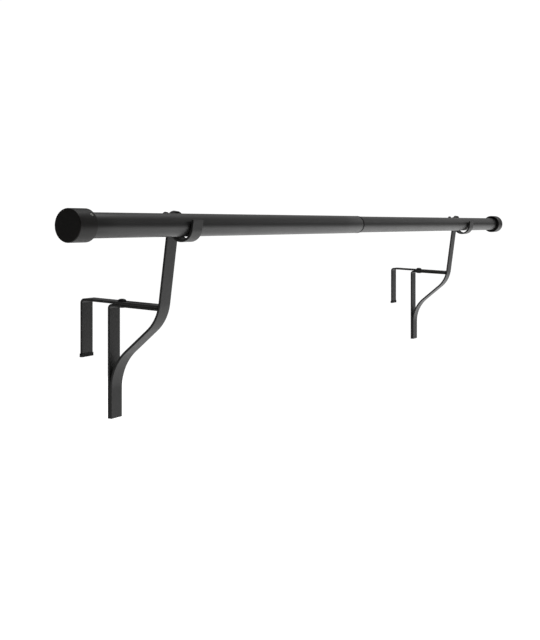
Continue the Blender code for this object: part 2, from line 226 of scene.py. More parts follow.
def powder_coat(name, dark, light, worn, roughness, streak, peel=1.0, wear=0.55, sheen=0.5):
    """Satin powder coat: orange peel, fine streaks, cloudy gloss, and edges rubbed a little.

    streak scales the streaks' noise along each axis, so they run along the smallest number.
    """
    n = Nodes(name)
    clouds = n.noise(38, 4, 0.6, warp=0.4)
    streaks = n.noise(1, 4, 0.65, stretch=streak)
    grain = n.noise(2600, 2, 0.6)
    orange = n.noise(820, 2, 0.5)
    scuffs = n.noise(160, 5, 0.7, stretch=(1, 1, 0.35), warp=0.8)
    tone = n.maths("ADD", n.maths("MULTIPLY", streaks, 0.6), n.maths("MULTIPLY", clouds, 0.4))
    body = n.blend(n.spread(tone, 0.36, 0.64), dark, light)
    specks = n.spread(grain, 0.66, 0.78, 0.0, 0.35)
    body = n.blend(specks, body, worn)
    rub = n.maths("MULTIPLY", n.edges(0.7 * MM), n.spread(scuffs, 0.4, 0.68, 0.25, 1.0))
    rub = n.maths("MULTIPLY", rub, wear)
    body = n.blend(rub, body, worn)
    gloss = n.spread(tone, 0.3, 0.7, roughness - 0.05, roughness + 0.06)
    gloss = n.maths("SUBTRACT", gloss, n.maths("MULTIPLY", rub, 0.12))
    gloss = n.maths("ADD", gloss, n.spread(grain, 0.3, 0.8, 0.0, 0.07))
    n.wire(Base_Color=body, Roughness=gloss, IOR=1.5, Specular_IOR_Level=sheen)
    n.bump((orange, 0.00003 * peel, 0.8), (grain, 0.000012 * peel, 0.8))
    return n.mat


def oxide(name):
    """Blackened steel: thin dull oxide over turned metal, bright where it is rubbed."""
    n = Nodes(name)
    clouds = n.noise(300, 4, 0.6)
    grain = n.noise(3200, 3, 0.6)
    rub = n.maths("MULTIPLY", n.edges(0.35 * MM), n.spread(clouds, 0.42, 0.66, 0.1, 0.8))
    body = n.blend(n.spread(clouds, 0.3, 0.7), (0.006, 0.006, 0.0065, 1), (0.014, 0.0135, 0.013, 1))
    body = n.blend(rub, body, (0.11, 0.105, 0.1, 1))
    gloss = n.maths("SUBTRACT", n.spread(grain, 0.25, 0.75, 0.3, 0.48), n.maths("MULTIPLY", rub, 0.1))
    n.wire(Base_Color=body, Roughness=gloss, Metallic=0.1, Specular_IOR_Level=0.25)
    n.bump((grain, 0.00001, 0.6), (clouds, 0.00002, 0.4))
    return n.mat


def bare_steel(name):
    """Bright turned steel with a fine uneven grain."""
    n = Nodes(name)
    grain = n.noise(1800, 4, 0.65)
    clouds = n.noise(500, 3, 0.5)
    body = n.blend(n.spread(clouds, 0.3, 0.7), (0.34, 0.335, 0.32, 1), (0.62, 0.62, 0.6, 1))
    n.wire(Base_Color=body, Roughness=n.spread(grain, 0.25, 0.75, 0.2, 0.42), Metallic=1.0)
    n.bump((grain, 0.00001, 0.5))
    return n.mat


def plastic(name):
    """Dull moulded plastic, a little paler along its edges."""
    n = Nodes(name)
    clouds = n.noise(240, 3, 0.5)
    grain = n.noise(2200, 3, 0.6)
    rub = n.maths("MULTIPLY", n.edges(0.3 * MM), 0.4)
    body = n.blend(n.spread(clouds, 0.3, 0.7), (0.006, 0.006, 0.0065, 1), (0.012, 0.012, 0.0125, 1))
    body = n.blend(rub, body, (0.03, 0.03, 0.031, 1))
    n.wire(Base_Color=body, Roughness=n.spread(grain, 0.25, 0.75, 0.5, 0.68), Specular_IOR_Level=0.2)
    n.bump((grain, 0.000015, 0.7), (clouds, 0.00003, 0.3))
    return n.mat


def rubber(name):
    """Matt dipped rubber with dust along its edges."""
    n = Nodes(name)
    clouds = n.noise(320, 4, 0.6)
    grain = n.noise(2600, 3, 0.65)
    dust = n.maths("MULTIPLY", n.edges(0.4 * MM), n.spread(clouds, 0.4, 0.65))
    body = n.blend(n.spread(clouds, 0.3, 0.7), (0.006, 0.006, 0.006, 1), (0.011, 0.011, 0.011, 1))
    body = n.blend(dust, body, (0.026, 0.025, 0.024, 1))
    n.wire(Base_Color=body, Roughness=n.spread(grain, 0.25, 0.75, 0.68, 0.88), IOR=1.5)
    n.bump((grain, 0.00002, 0.8), (clouds, 0.00003, 0.4))
    return n.mat


TUBE_COAT = powder_coat(
    "coat_tube",
    dark=(0.0075, 0.0073, 0.0071, 1),
    light=(0.0135, 0.0132, 0.0128, 1),
    worn=(0.05, 0.049, 0.047, 1),
    roughness=0.34,
    streak=(22, 900, 900),
)
STRAP_COAT = powder_coat(
    "coat_strap",
    dark=(0.0095, 0.0092, 0.0088, 1),
    light=(0.0175, 0.017, 0.0164, 1),
    worn=(0.06, 0.058, 0.055, 1),
    roughness=0.4,
    streak=(260, 320, 160),
    peel=1.2,
)
CAP_COAT = powder_coat(
    "coat_cap",
    dark=(0.0062, 0.0053, 0.0047, 1),
    light=(0.0098, 0.0088, 0.008, 1),
    worn=(0.036, 0.033, 0.03, 1),
    roughness=0.4,
    streak=(160, 420, 420),
    peel=0.9,
    wear=0.45,
    sheen=0.3,
)
OXIDE = oxide("black_oxide_steel")
STEEL = bare_steel("bright_screw_steel")
PLASTIC = plastic("moulded_black_plastic")
RUBBER = rubber("dipped_black_rubber")

BODY_OF = {
    node: body for body, nodes in frame["record"]["behaviour"]["bodies"].items() for node in nodes
}


# ---------------------------------------------------------------- mesh tools


def remember(obj):
    """Puts a new object in the scene."""
    bpy.context.scene.collection.objects.link(obj)
    return obj


def show(name, mesh, mat, body=None, node=None, place=None):
    """A finished piece: its mesh goes to its place, and it rides with its CAD body."""
    if place is not None:
        mesh.transform(place)
    mesh.materials.clear()
    mesh.materials.append(mat)
    mesh.shade_smooth()
    mesh.set_sharp_from_angle(angle=math.radians(38))
    obj = remember(bpy.data.objects.new(name, mesh))
    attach(obj, body or BODY_OF[node])
    if node:
        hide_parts(node)
    return obj


def rounding(obj, width=EDGE, segments=3, angle=35):
    """Rounds the piece's edges and keeps its flats flat."""
    bevel = obj.modifiers.new("edge", "BEVEL")
    bevel.width = width
    bevel.segments = segments
    bevel.limit_method = "ANGLE"
    bevel.angle_limit = math.radians(angle)
    bevel.miter_outer = "MITER_ARC"
    normals = obj.modifiers.new("flats", "WEIGHTED_NORMAL")
    normals.weight = 100
    normals.keep_sharp = True


def clean(work):
    """Welds points that lie together and turns the faces outwards."""
    bmesh.ops.remove_doubles(work, verts=work.verts, dist=1e-7)
    bmesh.ops.recalc_face_normals(work, faces=work.faces)


def settled(obj, *cutters):
    """The clean mesh that the object's modifiers make. The object and its cutters are removed."""
    bpy.context.view_layer.update()
    graph = bpy.context.evaluated_depsgraph_get()
    mesh = bpy.data.meshes.new_from_object(obj.evaluated_get(graph))
    for old in (obj, *cutters):
        bpy.data.objects.remove(old, do_unlink=True)
    work = bmesh.new()
    work.from_mesh(mesh)
    clean(work)
    work.to_mesh(mesh)
    work.free()
    return mesh


def arc_corner(before, corner, after, radius, step):
    """The points of a corner rounded to the radius, in 2D."""
    start = before - corner
    end = after - corner
    first = start.normalized()
    second = end.normalized()
    turn = math.pi - first.angle(second)
    if radius <= 0 or turn < 1e-4:
        return [corner]
    reach = min(radius * math.tan(turn / 2), start.length * 0.49, end.length * 0.49)
    radius = reach / math.tan(turn / 2)
    centre = corner + (first + second).normalized() * radius / math.cos(turn / 2)
    spoke = corner + first * reach - centre
    side = math.copysign(1, first.cross(second))
    count = max(2, math.ceil(turn / step))
    return [centre + Matrix.Rotation(side * -turn * k / count, 2) @ spoke for k in range(count + 1)]


def rounded(points, radii, closed=False, step=math.radians(15)):
    """A 2D line with its corners rounded; radii is one number or one for each point."""
    points = [Vector(p) for p in points]
    if isinstance(radii, (int, float)):
        radii = [radii] * len(points)
    made = []
    for i, (point, radius) in enumerate(zip(points, radii)):
        if not closed and i in (0, len(points) - 1):
            made.append(point)
            continue
        after = points[(i + 1) % len(points)]
        made += arc_corner(points[i - 1], point, after, radius, step)
    return made


def skin(rings, closed_along=False, caps=True):
    """A mesh over closed rings of points that all have the same count."""
    work = bmesh.new()
    made = [[work.verts.new(p) for p in ring] for ring in rings]
    loops = len(made) if closed_along else len(made) - 1
    for i in range(loops):
        here, there = made[i], made[(i + 1) % len(made)]
        for j in range(len(here)):
            k = (j + 1) % len(here)
            work.faces.new((here[j], here[k], there[k], there[j]))
    if caps:
        work.faces.new(made[0])
        work.faces.new(made[-1])
    clean(work)
    mesh = bpy.data.meshes.new("skin")
    work.to_mesh(mesh)
    work.free()
    return mesh


def turned(profile, steps=STEPS, closed=True, wobble=None):
    """A piece turned about Z from (radius, z) points.

    closed joins the profile's last point to its first; a profile that starts and ends on the axis
    needs no joining. wobble(turn, radius, z) may give another radius at each point.
    """
    rings = []
    for radius, z in profile:
        ring = []
        for k in range(steps):
            turn = math.tau * k / steps
            r = wobble(turn, radius, z) if wobble else radius
            ring.append((r * math.cos(turn), r * math.sin(turn), z))
        rings.append(ring)
    return skin(rings, closed_along=closed, caps=False)


def tool(mesh, place=None):
    """A cutter, which the cut that uses it removes."""
    obj = remember(bpy.data.objects.new("tool", mesh))
    if place is not None:
        mesh.transform(place)
    return obj


def round_tool(radius, low, high, place=None):
    profile = [(0, low), (radius, low), (radius, high), (0, high)]
    return tool(turned(profile, SMALL_STEPS, closed=False), place)


def prism(outline, low, high):
    """The (x, y) outline stretched from one height to another."""
    return skin([[(x, y, low) for x, y in outline], [(x, y, high) for x, y in outline]])


def circle(radius, steps):
    turns = [math.tau * k / steps for k in range(steps)]
    return [(radius * math.cos(turn), radius * math.sin(turn)) for turn in turns]


def hexagon(flats):
    """A hexagon's corners, from the distance across its flats."""
    return circle(flats / 2 / math.cos(math.pi / 6), 6)


def oblong(wide, deep):
    """A rectangle's corners, from half its sides."""
    return [(-wide, -deep), (wide, -deep), (wide, deep), (-wide, deep)]


def block(size, place):
    """A box-shaped cutter, centred at its place."""
    wide, deep, high = (length / 2 for length in size)
    return tool(prism(oblong(wide, deep), -high, high), place)


def cut(mesh, *cutters, how="DIFFERENCE"):
    """The mesh less its cutters, or joined or crossed with them."""
    obj = remember(bpy.data.objects.new("blank", mesh))
    for cutter in cutters:
        boolean = obj.modifiers.new("cut", "BOOLEAN")
        boolean.operation = how
        boolean.solver = "EXACT"
        boolean.object = cutter
    return settled(obj, *cutters)


def strap(path):
    """A flat strap whose middle follows (y, z) points, with square edges."""
    work = bmesh.new()
    verts = [work.verts.new((-STRAP_WIDTH / 2, y, z)) for y, z in path]
    edges = [work.edges.new(pair) for pair in zip(verts, verts[1:])]
    across = bmesh.ops.extrude_edge_only(work, edges=edges)
    moved = [item for item in across["geom"] if isinstance(item, bmesh.types.BMVert)]
    bmesh.ops.translate(work, vec=(STRAP_WIDTH, 0, 0), verts=moved)
    mesh = bpy.data.meshes.new("strap")
    work.to_mesh(mesh)
    work.free()
    obj = remember(bpy.data.objects.new("strap", mesh))
    solid = obj.modifiers.new("thickness", "SOLIDIFY")
    solid.thickness = STRAP
    solid.offset = 0
    solid.use_even_offset = True
    return settled(obj)


def thread(radius, depth, pitch, low, high, steps=SCREW_STEPS, rows=10):
    """A threaded rod: rows of rings for each turn of the thread, with its ridge wound over them."""
    runout = 0.6 * pitch
    flat = 0.12
    count = max(4, math.ceil((high - low) / pitch * rows))
    profile = [(0, low)]
    profile += [(radius, low + (high - low) * k / count) for k in range(count + 1)]
    profile.append((0, high))

    def wound(turn, crest, z):
        if crest == 0:
            return 0.0
        phase = (z / pitch - turn / math.tau) % 1.0
        ridge = abs(phase * 2 - 1)
        ridge = min(1.0, max(0.0, (ridge - flat) / (1 - 2 * flat)))
        fade = min(1.0, (z - low) / runout, (high - z) / runout)
        return crest - depth * (1 - ridge * max(0.0, fade))

    return turned(profile, steps, closed=False, wobble=wound)


def join(*meshes):
    """Several closed meshes as one mesh."""
    work = bmesh.new()
    for mesh in meshes:
        work.from_mesh(mesh)
        bpy.data.meshes.remove(mesh)
    made = bpy.data.meshes.new("joined")
    work.to_mesh(made)
    work.free()
    return made


# ---------------------------------------------------------------- bar


def along_x(x, sign=1):
    """Turns local Z to point along the bar from x, to +X, or to -X with a sign of -1."""
    aim = Matrix.Rotation(sign * math.pi / 2, 4, "Y")
    return Matrix.Translation((x, BAR_Y, BAR_Z)) @ aim


def split(profile, spacing):
    """The closed line with extra points, so that no stretch is longer than the spacing."""
    made = []
    for i, point in enumerate(profile):
        after = profile[(i + 1) % len(profile)]
        made.append(point)
        parts = max(1, math.ceil((after - point).length / spacing))
        made += [point.lerp(after, k / parts) for k in range(1, parts)]
    return made


def make_tube(name, radius, wall, start, end):
    """A plain tube from one X to another, with rounded lips."""
    bore = radius - wall
    length = end - start
    profile = [(radius, 0), (radius, length), (bore, length), (bore, 0)]
    profile = rounded(profile, TUBE_LIP, closed=True, step=math.radians(30))
    mesh = turned(split(profile, RING_SPACING))
    show(name + "_shown", mesh, TUBE_COAT, node=name, place=along_x(start))


def make_collar():
    """The ring at the outer tube's mouth, with a shallow groove round it."""
    waist = COLLAR_RADIUS - 0.28 * MM
    profile = [
        (COLLAR_BORE, 0),
        (COLLAR_RADIUS, 0),
        (COLLAR_RADIUS, 0.9 * MM),
        (waist, 1.1 * MM),
        (waist, 1.5 * MM),
        (COLLAR_RADIUS, 1.7 * MM),
        (COLLAR_RADIUS, COLLAR_LENGTH - 0.7 * MM),
        (COLLAR_RADIUS - 0.45 * MM, COLLAR_LENGTH),
        (COLLAR_BORE, COLLAR_LENGTH),
    ]
    collar = turned(rounded(profile, 0.12 * MM, closed=True, step=math.radians(25)))
    place = along_x(SEAM_X - COLLAR_LENGTH)
    show("tube_collar_shown", collar, PLASTIC, node="tube_collar", place=place)


def make_guide(start):
    """The plug that centres the inner tube's hidden end in the outer tube."""
    spigot = INNER_RADIUS - INNER_WALL - FIT
    rim = OUTER_RADIUS - OUTER_WALL - FIT
    profile = [
        (4 * MM, 12 * MM),
        (spigot - 0.6 * MM, 12 * MM),
        (spigot, 11.4 * MM),
        (spigot, 0.3 * MM),
        (spigot - 0.3 * MM, 0),
        (rim, -BUTT),
        (rim, -3 * MM),
        (4 * MM, -3 * MM),
    ]
    profile = rounded(profile, 0.25 * MM, closed=True, step=math.radians(30))
    guide = turned(profile, SMALL_STEPS)
    show("inner_guide_shown", guide, PLASTIC, node="inner_guide", place=along_x(start))


def make_bar():
    end = BAR_LENGTH / 2 - CAP_FACE - CAP_TO_TUBE
    mouth = SEAM_X - COLLAR_LENGTH - BUTT
    inner_start = SEAM_X - INNER_OVERLAP
    make_tube("outer_tube", OUTER_RADIUS, OUTER_WALL, -end, mouth)
    make_tube("inner_tube", INNER_RADIUS, INNER_WALL, inner_start, end)
    make_collar()
    make_guide(inner_start)


def cap_screw_place(cap_place):
    """The set screw's place within its cap: local Z points out of the cap, forward and up."""
    outward = Vector((0, -math.cos(CAP_SCREW_ANGLE), math.sin(CAP_SCREW_ANGLE)))
    local = cap_place.to_3x3().transposed() @ outward
    spin = Vector((0, 0, 1)).rotation_difference(local).to_matrix().to_4x4()
    return Matrix.Translation((0, 0, CAP_LENGTH - CAP_SCREW_INSET)) @ spin


def make_cap_shell(side, place, aim, through):
    """The cap itself, with a countersunk hole along aim for its set screw."""
    bore = CAP_RADIUS - CAP_WALL
    profile = [
        (0, CAP_FACE),
        (bore, CAP_FACE),
        (bore, CAP_LENGTH),
        (CAP_RADIUS, CAP_LENGTH),
        (CAP_RADIUS, 0),
        (CAP_RADIUS * 0.72, 0.0),
        (0, 0.12 * MM),
    ]
    radii = [0, 0.6 * MM, 0.25 * MM, 0.45 * MM, 0.95 * MM, 3 * MM, 0]
    cap = turned(rounded(profile, radii, step=math.radians(12)), closed=False)
    hole = CAP_SCREW_RADIUS + FIT
    sink = [
        (0, CAP_RADIUS - 0.5 * MM),
        (hole, CAP_RADIUS - 0.5 * MM),
        (hole + 0.75 * MM, CAP_RADIUS + 0.25 * MM),
        (0, CAP_RADIUS + 0.25 * MM),
    ]
    sink = tool(turned(sink, SMALL_STEPS, closed=False), aim)
    name = side + "_end_cap"
    shown = show(name + "_shown", cut(cap, through, sink), CAP_COAT, node=name, place=place)
    rounding(shown, SMALL_EDGE, 2, 50)


def make_cap_plug(side, place, through, tube_radius):
    """The ring that centres the tube in its cap."""
    far = CAP_LENGTH - PLUG_RECESS
    near = far - PLUG_LENGTH
    hold = tube_radius + FIT
    rim = CAP_RADIUS - CAP_WALL - FIT
    profile = [(hold, near), (rim, near), (rim, far), (hold, far)]
    radii = [0.2 * MM, 0.4 * MM, 0.45 * MM, 0.3 * MM]
    plug = turned(rounded(profile, radii, closed=True, step=math.radians(20)))
    name = side + "_cap_plug"
    show(name + "_shown", cut(plug, through), PLASTIC, node=name, place=place)


def make_cap_screw(side, place, tube_radius):
    """A headless screw with a hexagon socket, whose point stops just short of the tube."""
    head = CAP_RADIUS - 0.2 * MM
    point = tube_radius + FIT
    shank_low = point + 0.35 * MM
    shank_high = head - 0.35 * MM
    shank = thread(CAP_SCREW_RADIUS, 0.22 * MM, 0.5 * MM, shank_low, shank_high, steps=36, rows=8)
    crown = [
        (0, head - 0.5 * MM),
        (CAP_SCREW_RADIUS - 0.16 * MM, head - 0.5 * MM),
        (CAP_SCREW_RADIUS - 0.16 * MM, head - 0.14 * MM),
        (CAP_SCREW_RADIUS - 0.32 * MM, head),
        (0, head),
    ]
    foot = [
        (0, point),
        (CAP_SCREW_RADIUS - 0.65 * MM, point),
        (CAP_SCREW_RADIUS - 0.25 * MM, point + 0.45 * MM),
        (0, point + 0.45 * MM),
    ]
    screw = cut(shank, tool(turned(crown, SCREW_STEPS, closed=False)), how="UNION")
    screw = cut(screw, tool(turned(foot, 36, closed=False)), how="UNION")
    screw = cut(screw, tool(prism(hexagon(1.5 * MM), head - 1.3 * MM, head + MM)))
    name = side + "_cap_set_screw"
    show(name + "_shown", screw, STEEL, node=name, place=place)


def make_cap(side, sign, tube_radius):
    """Local Z runs from the cap's closed face in towards the middle of the bar."""
    place = along_x(sign * BAR_LENGTH / 2, -sign)
    aim = cap_screw_place(place)

    def drill():
        """A cutter for the set screw's hole; each piece that it passes through needs its own."""
        return round_tool(CAP_SCREW_RADIUS + FIT, tube_radius - MM, CAP_RADIUS + 2 * MM, aim)

    make_cap_shell(side, place, aim, drill())
    make_cap_plug(side, place, drill(), tube_radius)
    make_cap_screw(side, place @ aim, tube_radius)


# ---------------------------------------------------------------- brackets


def arm_y(z):
    """The middle of the leaning part of the arm at this height."""
    return ARM_FOOT_Y - math.tan(ARM_LEAN) * z


def strip_point(y, offset):
    """A point on the rising top strip at this Y, offset square to it from the seat's underside."""
    return Vector((y, y * math.tan(STRIP_RISE) + offset / math.cos(STRIP_RISE)))


def arm_corners():
    """The arm's middle line as (y, z) corners: lock screw, knee, foot bend and lower end."""
    knee_y = arm_y(KNEE_Z)
    foot_y = -STRAP * 1.5 - BUTT
    foot_z = KNEE_Z - (foot_y - knee_y) * math.tan(ARM_SLOPE)
    return [(arm_y(LOCK_HEIGHT), LOCK_HEIGHT), (knee_y, KNEE_Z), (foot_y, foot_z), (foot_y, -FRONT_LEG)]


def arm_up():
    """The direction up along the leaning part of the arm, as (y, z)."""
    return Vector((-math.sin(ARM_LEAN), math.cos(ARM_LEAN)))


def arm_back():
    """The direction square to arm_up, towards the panel."""
    return Vector((math.cos(ARM_LEAN), math.sin(ARM_LEAN)))


def cradle_middle():
    """The middle of the cradle's bend, a little below the bar's axis."""
    return Vector((BAR_Y, BAR_Z)) - arm_back() * CRADLE_SHIFT - arm_up() * CRADLE_DROP


def lock_place():
    """The lock screw's axis: local Z points back out of the arm, away from the bar."""
    y, z = arm_corners()[0]
    return Matrix.Translation((0, y, z)) @ Matrix.Rotation(ARM_LEAN - math.pi / 2, 4, "X")


def strip_place():
    """The clamp screw's axis: local Z points up out of the top strip."""
    y, z = strip_point(CLAMP_Y, 0)
    return Matrix.Translation((0, y, z)) @ Matrix.Rotation(STRIP_RISE, 4, "X")


def end_tools():
    """Cutters for the leaning straps: one domes their tops, one drills the lock screw's hole."""
    edge = STRAP_WIDTH / 2 + 0.4 * MM
    wide = STRAP_WIDTH / 2 + 3 * MM
    top = -ARM_TOP - OVER
    middle = END_RADIUS - ARM_TOP
    reach = math.asin(edge / END_RADIUS)
    parts = 40
    outline = [(wide, top), (wide, 0), (edge, 0)]
    for k in range(parts + 1):
        turn = reach - 2 * reach * k / parts
        outline.append((math.sin(turn) * END_RADIUS, middle - math.cos(turn) * END_RADIUS))
    outline += [(-edge, 0), (-wide, 0), (-wide, top)]
    lock = lock_place()
    dome = tool(prism(outline, -OVER, OVER / 2), lock)
    return dome, round_tool(LOCK_SHANK + FIT, -OVER, OVER, lock)


def show_strap(name, mesh, place):
    rounding(show(name + "_shown", mesh, STRAP_COAT, node=name, place=place))


def make_arm(side, place):
    """The strap from the bar down to the panel: leaning upright, knee, diagonal and foot."""
    lock, *below = arm_corners()
    top = Vector(lock) + arm_up() * (ARM_TOP + MM)
    path = rounded([top, *below], [0, KNEE_RADIUS, FOOT_RADIUS, 0], step=math.radians(3))
    show_strap(side + "_arm", cut(strap(path), *end_tools()), place)


def make_cradle(side, place):
    """A J of strap whose long leg lies on the arm and whose bend passes under the bar."""
    up = arm_up()
    back = arm_back()
    middle = cradle_middle()
    heel = middle + back * CRADLE_RADIUS
    toe = middle - back * CRADLE_RADIUS
    rise = (Vector(arm_corners()[0]) - heel).dot(up) + ARM_TOP + MM
    parts = 60
    path = [heel + up * rise]
    for k in range(parts + 1):
        turn = math.pi * k / parts
        path.append(middle + (back * math.cos(turn) - up * math.sin(turn)) * CRADLE_RADIUS)
    path.append(toe + up * (LIP_TOP - toe.y) / up.y)
    show_strap(side + "_cradle", cut(strap(path), *end_tools()), place)


def weld_bead(y, z, seed):
    """A rippled bead lying along X at (y, z), its ends tapered. The seed shifts its ripples."""
    parts = 150
    rings = []
    for k in range(parts + 1):
        share = k / parts
        x = (share - 0.5) * WELD_LENGTH
        taper = max(0.06, min(1.0, min(share, 1 - share) * 14)) ** 0.5
        fine = 0.11 * math.sin(k * math.tau / 6.4 + seed)
        coarse = 0.05 * math.sin(k * 0.37 + seed * 3)
        size = WELD_RADIUS * taper * (1 + fine + coarse)
        rings.append([(x, y + across, z + up) for across, up in circle(size, 20)])
    return skin(rings)


def make_welds(side, place):
    """The beads that hold the arm to the flange and to the front leg, and the cradle to the arm."""
    level = -GAP - STRAP
    under_flange = strip_point(arm_y(level) + STRAP / 2 + KNEE_GAP / 2 + 0.35 * MM, level)
    at_foot = (-STRAP - BUTT / 2, FOOT_WELD_INSET - FRONT_LEG)
    out = CRADLE_RADIUS + STRAP / 2 - 0.1 * MM
    at_root = cradle_middle() + arm_back() * out - arm_up() * 4.3 * MM
    seams = [
        (under_flange.x, under_flange.y - 0.05 * MM, 1.1),
        (*at_foot, 2.3),
        (*at_root, 4.0),
    ]
    for index, (y, z, seed) in enumerate(seams):
        bead = weld_bead(y, z, seed)
        show(f"{side}_weld_{index}", bead, STRAP_COAT, body=side + "_bracket", place=place)


def make_front_strap(side, place):
    """The flange under the top strip and the leg down the panel's front, cut back for the arm."""
    level = -GAP - STRAP / 2
    start = strip_point(FRONT_STRIP_END, level)
    corner = strip_point(-STRAP / 2, level)
    path = [start, corner, (corner.x, -FRONT_LEG)]
    path = rounded(path, [0, BEND_RADIUS, 0], step=math.radians(6))
    hole = round_tool(NUT_SPIGOT + FIT, -OVER, OVER, strip_place())
    deep = 20 * MM
    along = (STRAP / 2 + KNEE_GAP - deep / 2) / math.cos(ARM_LEAN)
    lean = Matrix.Translation((0, arm_y(0) + along, 0)) @ Matrix.Rotation(ARM_LEAN, 4, "X")
    beyond_arm = block((2 * STRAP_WIDTH, deep, 3 * deep), lean)
    show_strap(side + "_front_strap", cut(strap(path), beyond_arm, hole), place)


def slot_outline():
    """The slot in the top strip, with round ends, from the clamp screw forward by its travel."""
    radius = SLOT_WIDTH / 2
    parts = 32
    outline = []
    for end, start in ((0, 0), (-CLAMP_TRAVEL, math.pi)):
        for k in range(parts + 1):
            turn = start + math.pi * k / parts
            outline.append((radius * math.cos(turn), end + radius * math.sin(turn)))
    return outline


def make_hook_strap(side, place):
    """The slotted strip over the panel's top edge and the leg down its back."""
    level = STRAP / 2
    back = JAW + STRAP / 2
    path = [strip_point(HOOK_STRIP_END, level), strip_point(back, level), (back, -BACK_LEG)]
    path = rounded(path, [0, BEND_RADIUS, 0], step=math.radians(6))
    slot = tool(prism(slot_outline(), -OVER / 2, OVER), strip_place())
    show_strap(side + "_hook_strap", cut(strap(path), slot), place)


def make_hook_tip(side, place):
    """The dipped rubber end of the back leg: a soft sole and three grooves round it."""
    half_x = STRAP_WIDTH / 2 + BUTT
    half_y = STRAP / 2 + BUTT
    back = JAW + STRAP / 2
    low = -BACK_LEG - BUTT
    levels = [(0, 0.35 * MM), (0.12 * MM, 0.1 * MM), (0.4 * MM, 0)]
    for rise in (1.1 * MM, 2.1 * MM, 3.1 * MM):
        levels += [
            (rise, 0),
            (rise + 0.2 * MM, TIP_GROOVE),
            (rise + 0.4 * MM, TIP_GROOVE),
            (rise + 0.6 * MM, 0),
        ]
    levels += [(TIP_HEIGHT - 0.15 * MM, 0), (TIP_HEIGHT, 0.14 * MM)]
    rings = []
    for height, inset in levels:
        corners = oblong(half_x + TIP_WALL - inset, half_y + TIP_WALL - inset)
        ring = rounded(corners, 0.8 * MM, closed=True, step=math.radians(15))
        rings.append([(x, back + y, low - TIP_SOLE + height) for x, y in ring])
    deep = 20 * MM
    pocket = block((half_x * 2, half_y * 2, deep), Matrix.Translation((0, back, low + deep / 2)))
    name = side + "_hook_tip"
    show(name + "_shown", cut(skin(rings), pocket), RUBBER, node=name, place=place)


def make_clamp_screw(side, place):
    """A round-headed screw with a hexagon socket, standing in the top strip's slot."""
    under = STRAP + BUTT
    top = under + CLAMP_HEAD
    end = -GAP - STRAP - 1.6 * MM
    profile = [
        (0, under),
        (CLAMP_HEAD_RADIUS, under),
        (CLAMP_HEAD_RADIUS, top - 2.0 * MM),
        (CLAMP_HEAD_RADIUS * 0.93, top - 1.2 * MM),
        (CLAMP_HEAD_RADIUS * 0.74, top - 0.5 * MM),
        (CLAMP_HEAD_RADIUS * 0.45, top - 0.05 * MM),
        (0, top),
    ]
    radii = [0, 0.15 * MM, 0.8 * MM, 1.2 * MM, 1.4 * MM, 1.4 * MM, 0]
    head = turned(rounded(profile, radii, step=math.radians(6)), HEAD_STEPS, closed=False)
    head = cut(head, tool(prism(hexagon(CLAMP_SOCKET), top - 1.7 * MM, top + 2 * MM)))
    shank = thread(CLAMP_SHANK, 0.32 * MM, 0.8 * MM, end, under + 0.3 * MM)
    name = side + "_clamp_screw"
    shown = show(name + "_shown", join(head, shank), OXIDE, node=name, place=place)
    rounding(shown, SMALL_EDGE, 2, 50)


def make_clamp_nut(side, place):
    """A flanged clinch nut, whose spigot stands in the front strap's flange."""
    face = -GAP - STRAP - BUTT
    disc = face - 1.2 * MM
    profile = [
        (NUT_BORE, -GAP - 0.4 * MM),
        (NUT_SPIGOT, -GAP - 0.4 * MM),
        (NUT_SPIGOT, face),
        (NUT_FLANGE, face),
        (NUT_FLANGE, disc),
        (NUT_BORE, disc),
    ]
    radii = [0.1 * MM, 0.2 * MM, 0.05 * MM, 0.15 * MM, 0.35 * MM, 0.3 * MM]
    nut = turned(rounded(profile, radii, closed=True), HEAD_STEPS)
    name = side + "_clamp_nut"
    show(name + "_shown", nut, OXIDE, node=name, place=place)


def knob_mesh():
    """A straight-knurled thumb head with chamfered ends and a shallow dish in its face."""
    low = LOCK_STANDOFF
    high = LOCK_STANDOFF + LOCK_KNOB
    rim = LOCK_KNOB_RADIUS
    profile = [
        (0, low),
        (rim - 0.9 * MM, low),
        (rim - 0.35 * MM, low + 0.3 * MM),
        (rim, low + 0.65 * MM),
        (rim, (low + high) / 2),
        (rim, high - 0.65 * MM),
        (rim - 0.35 * MM, high - 0.3 * MM),
        (rim - 0.9 * MM, high),
        (rim - 1.7 * MM, high),
        (rim - 2.1 * MM, high - 0.35 * MM),
        (0, high - 0.35 * MM),
    ]
    fade = 0.5 * MM

    def knurl(turn, radius, z):
        """Cuts the grooves deepest at the rim and not at all further in than the fade."""
        if radius < rim - fade:
            return radius
        groove = 0.5 - 0.5 * math.cos(turn * KNURL_TEETH)
        return radius - KNURL_DEPTH * groove ** 1.6 * (1 - (rim - radius) / fade)

    return turned(profile, KNURL_TEETH * 8, closed=False, wobble=knurl)


def make_lock_screw(side, place):
    """The thumb screw behind the arm, whose point stops just short of the bar."""
    root = LOCK_SHANK - 0.35 * MM
    shank = thread(LOCK_SHANK, 0.35 * MM, 0.9 * MM, LOCK_SHOULDER, LOCK_STANDOFF + 0.5 * MM)
    point = [
        (0, LOCK_TIP_END),
        (LOCK_TIP, LOCK_TIP_END),
        (root, LOCK_SHOULDER),
        (root, LOCK_SHOULDER + 0.2 * MM),
        (0, LOCK_SHOULDER + 0.2 * MM),
    ]
    radii = [0, 0.3 * MM, 0.2 * MM, 0, 0]
    point = turned(rounded(point, radii), SCREW_STEPS, closed=False)
    name = side + "_lock_screw"
    show(name + "_shown", join(knob_mesh(), shank, point), OXIDE, node=name, place=place)


